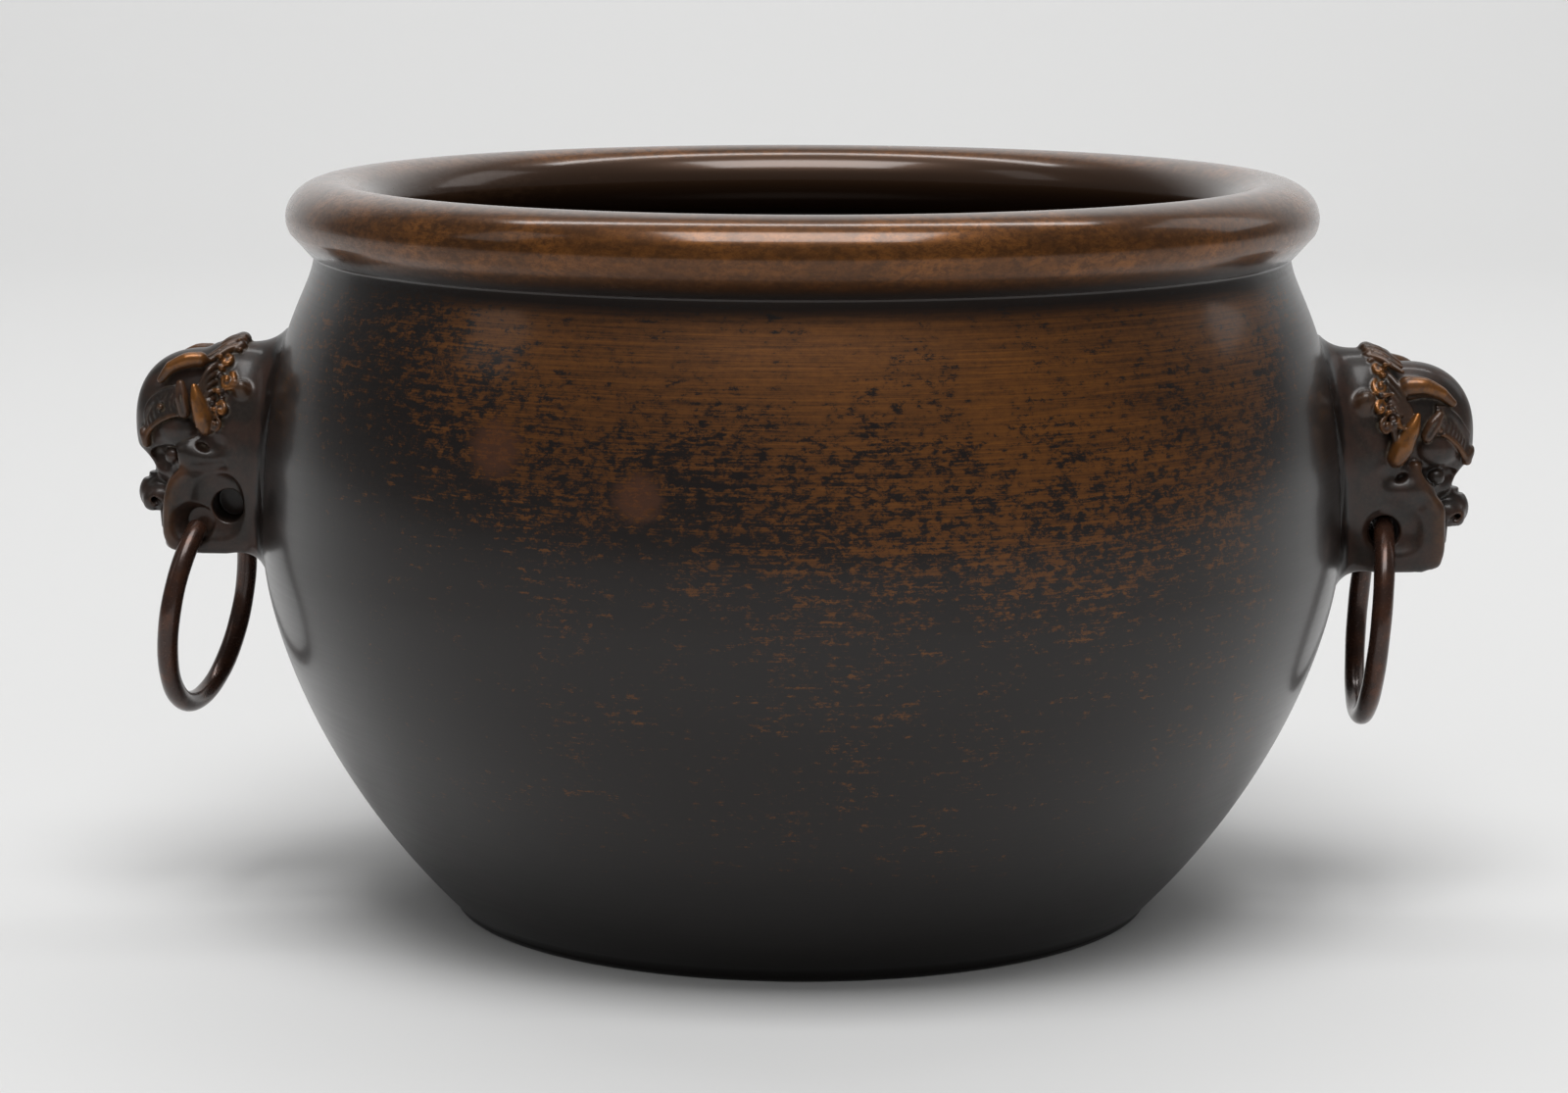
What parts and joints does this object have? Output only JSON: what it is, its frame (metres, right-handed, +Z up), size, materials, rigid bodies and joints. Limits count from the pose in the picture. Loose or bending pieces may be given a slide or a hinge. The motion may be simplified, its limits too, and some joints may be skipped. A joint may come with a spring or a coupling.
{
  "type": "bronze pot with ring handles",
  "caption": "Round-bellied bronze pot with a thick rolled rim and a flat foot; a lion-mask handle on each side holds a loose ring that swings in the jaw.",
  "frame": {"origin": "on the table under the middle of the foot", "axes": "+Z up, +X towards the right-hand mask, -Y towards the picture's camera"},
  "size_m": [0.3111, 0.25, 0.1697],
  "materials": {
    "pot_bronze": "dark brown patina, brushed, with worn orange-brown patches",
    "mask_bronze": "dark brown patina, golden where the relief is worn",
    "ring_bronze": "dark red-brown, semi-gloss"
  },
  "bodies": {
    "pot": {"pot": "pot_bronze", "right_mask_handle": "mask_bronze", "left_mask_handle": "mask_bronze"},
    "right_ring": {"right_ring": "ring_bronze"},
    "left_ring": {"left_ring": "ring_bronze"}
  },
  "joints": [
    {"name": "right_ring_swing", "type": "hinge", "parent": "pot", "child": "right_ring", "pos_m": [0.13488, 0, 0.0888], "axis": [-0.0262, -0.9997, 0], "range_deg": [-18.5, 184]},
    {"name": "left_ring_swing", "type": "hinge", "parent": "pot", "child": "left_ring", "pos_m": [-0.13623, 0, 0.0905], "axis": [0.2419, 0.9703, 0], "range_deg": [-27.5, 174]}
  ]
}
